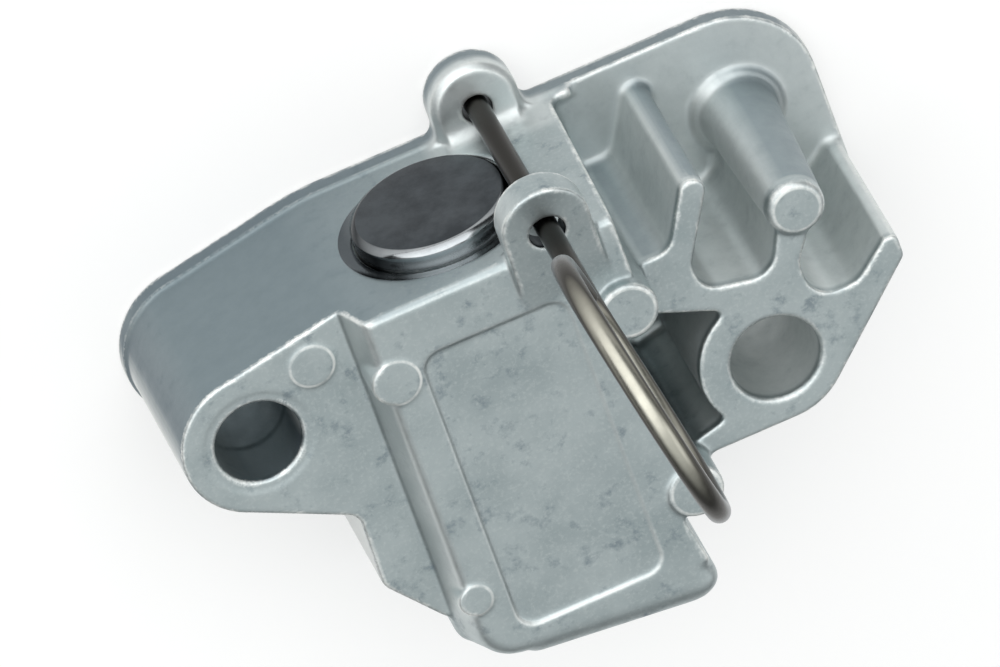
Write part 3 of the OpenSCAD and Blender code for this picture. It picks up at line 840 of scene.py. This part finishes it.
@dataclass(frozen=True)
class Housing:
    """Die-cast housing, whose cast rounds and fillets are worked into the CAD shape."""

    voxel: float = 0.15 * MM
    band: int = 10
    fillet: float = 0.36 * MM
    opening: float = 1.2 * MM
    soften: float = 0.11 * MM
    web_x: float = 27.0 * MM
    web_top: float = 16.7 * MM
    # Share of the fillets that the rest of the casting takes
    plain_share: float = 0.12
    # Where the rounds start: right of the lowest corner, above it, above the lowest edge, and over the flange
    corner_x: float = 12.5 * MM
    corner_y: float = -20.0 * MM
    edge_y: float = -22.3 * MM
    round_z: float = 6 * MM
    edge_blur: float = 0.15 * MM
    most_triangles: int = 190000

    def build(self, material: bpy.types.Material) -> bpy.types.Object:
        """Makes the cast skin and lets it stand for the CAD solid.

        Args:
            material: Finish of the casting.

        Returns:
            The piece.
        """
        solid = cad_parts["housing"].data
        solid.calc_loop_triangles()
        points = np.array([v.co for v in solid.vertices], np.float32)
        triangles = np.array([t.vertices for t in solid.loop_triangles], np.uint32)
        origin, shape = self._grid(points)
        sharp = self._field(points, triangles, None, origin, shape)
        grown = self._surface(sharp, origin, self.fillet)
        closed = self._field(*grown, origin, shape) + self.fillet
        shrunk = self._surface(sharp, origin, -self.opening)
        opened = self._field(*shrunk, origin, shape) - self.opening
        fillets, rounds = self._shares(origin, shape)
        field = sharp + (np.minimum(closed, sharp) - sharp) * fillets + (np.maximum(opened, sharp) - sharp) * rounds
        field = self._blur(field, self.soften)
        low, high = points.min(0), points.max(0)
        points, triangles, quads = self._surface(field, origin, 0.0)
        points = np.clip(points, low, high)
        faces = [list(map(int, face[::-1])) for part in (triangles, quads) for face in part]
        piece = link_mesh("cast_housing", points, faces, material, Body.HOUSING)
        self._thin(piece)
        self._mark_edges(piece.data, field, origin)
        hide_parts("housing")
        return piece

    def _grid(self, points: np.ndarray) -> tuple[np.ndarray, tuple[int, int, int]]:
        """Gives a grid round the points.

        Args:
            points: Vertices in metres.

        Returns:
            Its first voxel and its size in voxels.
        """
        margin = self.band + 2
        low = np.floor(points.min(0) / self.voxel).astype(int) - margin
        high = np.ceil(points.max(0) / self.voxel).astype(int) + margin
        return low, tuple(int(n) for n in high - low + 1)

    def _field(self, points: np.ndarray, triangles: np.ndarray, quads: np.ndarray | None, origin: np.ndarray,
               shape: tuple[int, int, int]) -> np.ndarray:
        """Gives the distance to a closed mesh on the grid.

        Args:
            points: Vertices in metres.
            triangles: Vertex numbers of the triangles.
            quads: Vertex numbers of the quads, if there are any.
            origin: First voxel of the grid.
            shape: Size of the grid.

        Returns:
            The distance in metres at each voxel, less than zero inside the mesh.
        """
        transform = openvdb.createLinearTransform(voxelSize=self.voxel)
        grid = openvdb.FloatGrid.createLevelSetFromPolygons(
            np.ascontiguousarray(points, np.float32), triangles=np.ascontiguousarray(triangles, np.uint32),
            quads=None if quads is None else np.ascontiguousarray(quads, np.uint32), transform=transform,
            halfWidth=float(self.band))
        field = np.empty(shape, np.float32)
        grid.copyToArray(field, ijk=tuple(int(n) for n in origin))
        return field

    def _surface(self, field: np.ndarray, origin: np.ndarray,
                 level: float) -> tuple[np.ndarray, np.ndarray, np.ndarray]:
        """Gives the mesh where a field has a level.

        Args:
            field: Distances at the voxels.
            origin: First voxel of the grid.
            level: Distance that is looked for.

        Returns:
            Points, triangles and quads.
        """
        grid = openvdb.FloatGrid(float(field.max()))
        grid.copyFromArray(np.ascontiguousarray(field), ijk=tuple(int(n) for n in origin))
        grid.transform = openvdb.createLinearTransform(voxelSize=self.voxel)
        return grid.convertToPolygons(isovalue=level, adaptivity=0.0)

    def _shares(self, origin: np.ndarray, shape: tuple[int, int, int]) -> tuple[np.ndarray, np.ndarray]:
        """Gives how much of the fillets and of the rounds each voxel takes.

        Args:
            origin: First voxel of the grid.
            shape: Size of the grid.

        Returns:
            The share of the fillets, all of them round the ribs and the post, and the share of the rounds, all of
            them along the lowest edge of the block.
        """
        x, y, z = np.meshgrid(*((origin[a] + np.arange(shape[a], dtype=np.float32)) * self.voxel for a in range(3)),
                              indexing="ij", sparse=True)
        right = np.clip((x - self.web_x) / (2 * MM), 0, 1)
        under = np.clip((self.web_top - z) / (0.5 * MM), 0, 1)
        corner = np.clip((self.corner_y - y) / (1.5 * MM), 0, 1) * np.clip((self.corner_x - x) / MM, 0, 1)
        edge = np.clip((self.edge_y - y) / (0.8 * MM), 0, 1)
        low = np.maximum(corner, edge) * np.clip((z - self.round_z) / (4 * MM), 0, 1)
        return self.plain_share + (1 - self.plain_share) * right * under, low

    def _blur(self, field: np.ndarray, sigma: float) -> np.ndarray:
        """Softens the field, which rounds each edge of the shape.

        Args:
            field: Distances at the voxels.
            sigma: Width of the softening in metres.

        Returns:
            The softened field.
        """
        reach = max(1, math.ceil(2.5 * sigma / self.voxel))
        steps = np.arange(-reach, reach + 1)
        weights = np.exp(-0.5 * (steps * self.voxel / sigma) ** 2)
        weights /= weights.sum()
        for axis in range(3):
            total = np.zeros_like(field)
            for step, weight in zip(steps, weights):
                total += np.roll(field, int(step), axis) * np.float32(weight)
            field = total
        return field

    def _thin(self, piece: bpy.types.Object) -> None:
        """Takes triangles out of the flat places.

        Args:
            piece: Piece with too many triangles.
        """
        piece.data.calc_loop_triangles()
        count = len(piece.data.loop_triangles)
        if count <= self.most_triangles:
            return
        fewer = piece.modifiers.new("fewer_triangles", "DECIMATE")
        fewer.ratio = self.most_triangles / count
        mesh = bpy.data.meshes.new_from_object(piece.evaluated_get(bpy.context.evaluated_depsgraph_get()))
        piece.modifiers.clear()
        mesh.name = piece.name
        mesh.shade_smooth()
        piece.data = mesh

    def _mark_edges(self, mesh: bpy.types.Mesh, field: np.ndarray, origin: np.ndarray) -> None:
        """Stores on each vertex how sharply the skin turns outwards there, for the worn edges and their painted
        highlight.

        Args:
            mesh: Skin of the casting.
            field: Distance field of the skin.
            origin: First voxel of the field.
        """
        wide = self._blur(field, self.edge_blur)
        bend = sum(np.roll(wide, 1, a) + np.roll(wide, -1, a) for a in range(3)) - 6 * wide
        places = np.empty(len(mesh.vertices) * 3, np.float32)
        mesh.vertices.foreach_get("co", places)
        cells = np.rint(places.reshape(-1, 3) / self.voxel).astype(int) - origin
        values = np.clip(bend[cells[:, 0], cells[:, 1], cells[:, 2]] / self.voxel * 2, -1, 1).astype(np.float32)
        mesh.attributes.new(EDGE, "FLOAT", "POINT").data.foreach_set("value", values)


@dataclass(frozen=True)
class Plunger:
    """Steel plunger, a cup with a dark face and a ground side and break."""

    bore: Bore = Bore()
    radius: float = 6.1 * MM
    cup_radius: float = 4.65 * MM
    face_y: float = 9.3 * MM
    foot_y: float = -11.3 * MM
    head: float = 3.7 * MM
    face_break: float = 0.5 * MM
    foot_break: float = 0.3 * MM
    soft: float = 0.06 * MM
    segments: int = 160
    # First bands of the profile, which make up the flat face
    face_bands: int = 4

    def build(self, face: bpy.types.Material, side: bpy.types.Material) -> bpy.types.Object:
        """Turns the plunger and lets it stand for the CAD solid.

        Args:
            face: Finish of its flat face.
            side: Finish of the rest.

        Returns:
            The piece.
        """
        r, b, soft, top, foot = self.radius, self.face_break, self.soft, self.face_y, self.foot_y
        cup, nip = self.cup_radius, self.foot_break
        profile = [
            (0.0, top), (1.5 * MM, top), (3.5 * MM, top), (r - b - 2 * soft, top), (r - b - soft, top - 0.2 * soft),
            (r - b + soft * 0.6, top - soft * 0.8), (r - soft * 0.6, top - 0.8 * b + soft * 0.8),
            (r - 0.2 * soft, top - 0.8 * b - soft), (r, top - 0.8 * b - 3 * soft), (r, top - 4 * MM), (r, foot + nip),
            (r - nip, foot), (cup + nip, foot), (cup, foot + nip), (cup, top - self.head), (0.0, top - self.head)]
        turn = np.linspace(0, 2 * math.pi, self.segments, endpoint=False)
        rings, faces, starts = [], [], []
        for out, y in profile:
            starts.append(sum(len(ring) for ring in rings))
            spread = turn if out else turn[:1]
            rings.append(self.bore.at(np.full(len(spread), out), spread, np.full(len(spread), y)))
        n = self.segments
        for i in range(len(profile) - 1):
            a, c = starts[i], starts[i + 1]
            for k in range(n):
                m = (k + 1) % n
                if i == 0:
                    faces.append([a, c + k, c + m])
                elif i == len(profile) - 2:
                    faces.append([a + k, c, a + m])
                else:
                    faces.append([a + k, c + k, c + m, a + m])
        piece = link_mesh("turned_plunger", np.concatenate(rings), faces, face, Body.PLUNGER)
        piece.data.materials.append(side)
        flat = self.face_bands * n
        finish = [0] * flat + [1] * (len(piece.data.polygons) - flat)
        piece.data.polygons.foreach_set("material_index", finish)
        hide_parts("plunger")
        return piece


@dataclass(frozen=True)
class Coil:
    """Coil spring on the bore's axis."""

    name: str
    node: str
    joint: str
    radius: float
    wire: float
    foot_y: float
    rise: float
    turns: float
    anchor_y: float
    stroke: float
    bore: Bore = Bore()

    def build(self, material: bpy.types.Material) -> bpy.types.Object:
        """Winds the spring and lets it stand for the CAD solid.

        Args:
            material: Finish of the wire.

        Returns:
            The piece.
        """
        t = np.linspace(0, 1, int(self.turns * 40) + 1)
        path = self.bore.at(np.full(len(t), self.radius), 2 * math.pi * self.turns * t, self.foot_y + self.rise * t)
        points, faces = Wire(self.wire / 2, 14).skin(path)
        piece = link_mesh(self.name, points, faces, material, Body.HOUSING)
        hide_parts(self.node)
        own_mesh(piece)
        return piece


@dataclass(frozen=True)
class RetainingPin:
    """Bent spring wire: a leg through both ears, a bend and a pull ring."""

    x: float = 24.5 * MM
    y: float = 9.9 * MM
    tip_z: float = 0.4 * MM
    wire: float = 1.72 * MM
    ring_radius: float = 10.3 * MM
    ring_z: float = 45.3 * MM
    ring_turn: float = 190.9
    ring_end: float = 258.0
    neck_radius: float = 2.2 * MM
    leg_z: float = 30 * MM
    end_round: float = 0.3 * MM

    def path(self) -> np.ndarray:
        """Gives the middle line of the wire.

        Returns:
            Points from the tip of the leg to the end of the ring, in metres.
        """
        rise = math.sqrt(self.ring_radius**2 + 2 * self.ring_radius * self.neck_radius)
        neck_z = self.ring_z - rise
        lean = math.degrees(math.atan2(self.neck_radius, rise))
        leg_z = np.concatenate([self.tip_z + np.array([0, 0.03, 0.07, 0.12, 0.18, 0.25, 0.35]) * MM,
                                np.linspace(self.tip_z + 0.6 * MM, neck_z, 60)[:-1]])
        bend = np.radians(np.linspace(180, 90 + lean, 14)[:-1])
        ring = np.radians(np.concatenate([np.linspace(lean - 90, self.ring_end - 2, 150),
                                          self.ring_end - np.array([1.4, 1.0, 0.7, 0.4, 0.15, 0.0])]))
        out = np.concatenate([np.zeros(len(leg_z)), self.neck_radius * (1 + np.cos(bend)),
                              self.ring_radius * np.cos(ring)])
        high = np.concatenate([leg_z, neck_z + self.neck_radius * np.sin(bend),
                               self.ring_z + self.ring_radius * np.sin(ring)])
        turn = math.radians(self.ring_turn)
        return np.stack([self.x - out * math.sin(turn), self.y + out * math.cos(turn), high], axis=-1)

    def build(self, ring: bpy.types.Material, leg: bpy.types.Material) -> bpy.types.Object:
        """Bends the pin and lets it stand for the CAD solid.

        Args:
            ring: Finish of the pull ring.
            leg: Finish of the leg, up to just over the front ear, painted in shade.

        Returns:
            The piece.
        """
        points, faces = Wire(self.wire / 2, 28, self.end_round).skin(self.path())
        piece = link_mesh("bent_wire_pin", points, faces, ring, Body.PIN)
        piece.data.materials.append(leg)
        finish = [int(polygon.center.z < self.leg_z) for polygon in piece.data.polygons]
        piece.data.polygons.foreach_set("material_index", finish)
        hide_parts("retaining_pin")
        return piece


def main() -> None:
    """Builds the studio and every piece of the part."""
    logging.basicConfig(level=logging.INFO, format="%(name)s: %(message)s")
    Camera().build()
    Studio().build()
    cast = CastAluminium().make()
    # Hardened and oil-blackened: a dark, even face with a soft shine
    dark = TurnedSteel("hardened_dark_steel", "#4a4f53", "#383c40", (0.3, 0.42)).make()
    # Ground and lapped: a pale mirror, with painted dark reflections on its sides
    ground = TurnedSteel("ground_steel", "#aeb2b4", "#a0a4a7", (0.12, 0.2), flank_shade="#24282b",
                         flank_shade_span=(0.9, 0.5)).make()
    # Polished: even and bright, with faint lines
    bright = TurnedSteel("polished_steel", "#b4b7b9", "#a5a8ab", (0.15, 0.25)).make()
    # Drawn wire: a warm grey that shows as a painted highlight in front, with painted dark reflections on its sides
    drawn = TurnedSteel("drawn_spring_wire", "#b9b7ab", "#a8a69b", (0.3, 0.38), flank_shade="#3a3834").make()
    # The same wire on the leg, painted in shade: dark, with painted dark sides and a soft painted line of light
    shaded_wire = TurnedSteel("shaded_spring_wire", "#55534f", "#45433f", (0.28, 0.36), flank_shade="#2f2d2a",
                        flank_shade_span=(0.95, 0.7)).make()
    nylon = MouldedNylon().make()
    pieces = [
        Housing().build(cast),
        Plunger().build(dark, ground),
        Coil("plunger_coil", "plunger_spring", "plunger_slide", radius=3.95 * MM, wire=1.0 * MM, foot_y=-12.28 * MM,
             rise=16.34 * MM, turns=9.0, anchor_y=-12.8 * MM, stroke=1.3 * MM).build(bright),
        Coil("valve_coil", "ball_spring", "ball_lift", radius=1.0 * MM, wire=0.3 * MM, foot_y=-10.6895 * MM,
             rise=2.1879 * MM, turns=3.5, anchor_y=-8.32 * MM, stroke=0.8 * MM).build(bright),
        RetainingPin().build(drawn, shaded_wire),
    ]
    for piece in pieces:
        LOG.info("%s: %d vertices", piece.name, len(piece.data.vertices))
    dressed = {"valve_seat": bright, "check_ball": bright, "ball_cage": bright, "volume_insert": nylon}
    for node, material in dressed.items():
        dress(node, material)
        LOG.info("%s: dressed", node)


if __name__ == "__main__":
    main()
